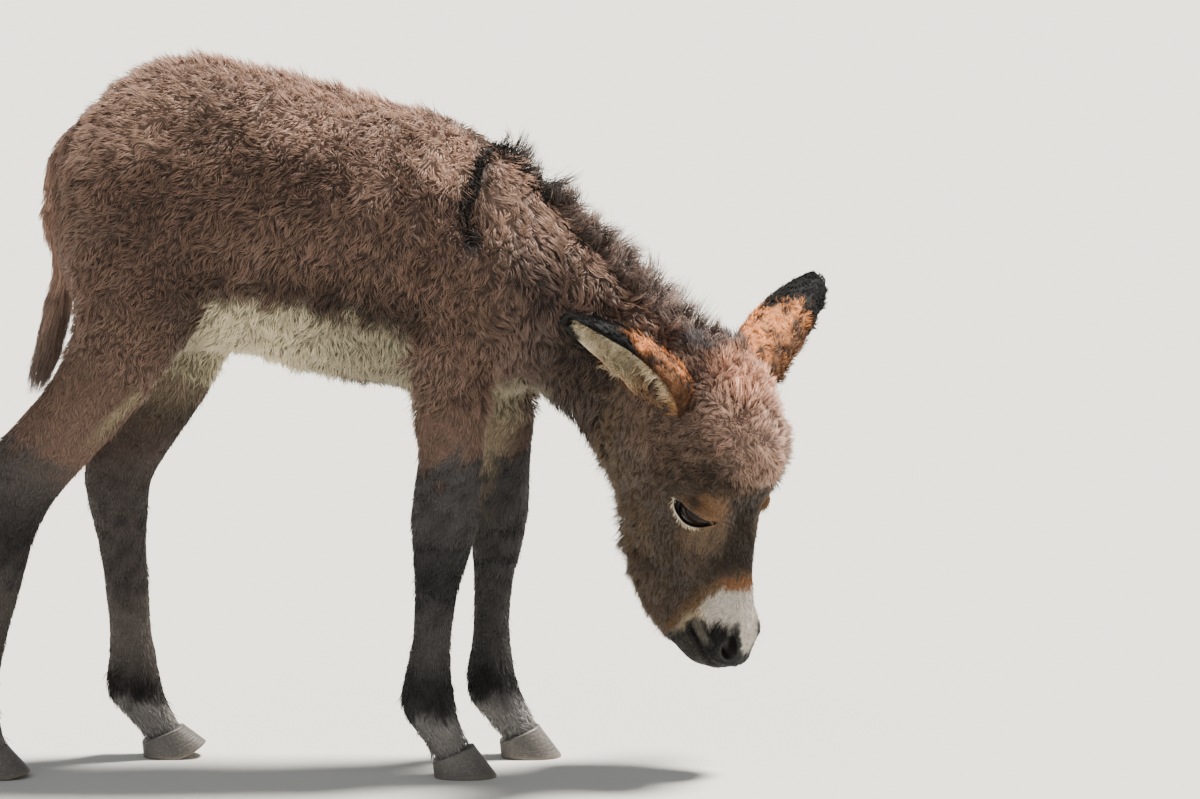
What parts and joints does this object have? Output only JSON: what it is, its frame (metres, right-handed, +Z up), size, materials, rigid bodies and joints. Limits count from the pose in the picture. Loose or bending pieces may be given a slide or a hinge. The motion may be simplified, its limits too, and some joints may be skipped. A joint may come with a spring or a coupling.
{
  "type": "donkey foal",
  "caption": "Life-size still model of a brown donkey foal, standing with its head lowered and turned to its right, ears out to the sides, pale belly and muzzle.",
  "frame": {"origin": "on the floor, below the centre of the bounding box", "axes": "+X towards the animal's chest, +Y to the animal's left, +Z up"},
  "size_m": [0.9764, 0.3384, 0.7996],
  "materials": {
    "body_coat": "warm brown fluffy coat, cream on the belly and muzzle",
    "leg_coat": "dark brown coat of the legs",
    "mane_coat": "dark long hair of mane and tail",
    "ear_fur": "rust brown short fur with dark tips and rims",
    "hoof_horn": "grey brown horn with growth rings",
    "eye_wet": "wet dark eye"
  },
  "bodies": {
    "root": {"trunk": "body_coat", "neck": "body_coat", "head": "body_coat", "fore_leg_right": "leg_coat", "fore_leg_left": "leg_coat", "hind_leg_right": "leg_coat", "hind_leg_left": "leg_coat", "mane": "mane_coat", "tail": "mane_coat", "ear_right": "ear_fur", "ear_left": "ear_fur", "hoof_fore_right": "hoof_horn", "hoof_fore_left": "hoof_horn", "hoof_hind_right": "hoof_horn", "hoof_hind_left": "hoof_horn", "eye_right": "eye_wet", "eye_left": "eye_wet"}
  },
  "joints": []
}
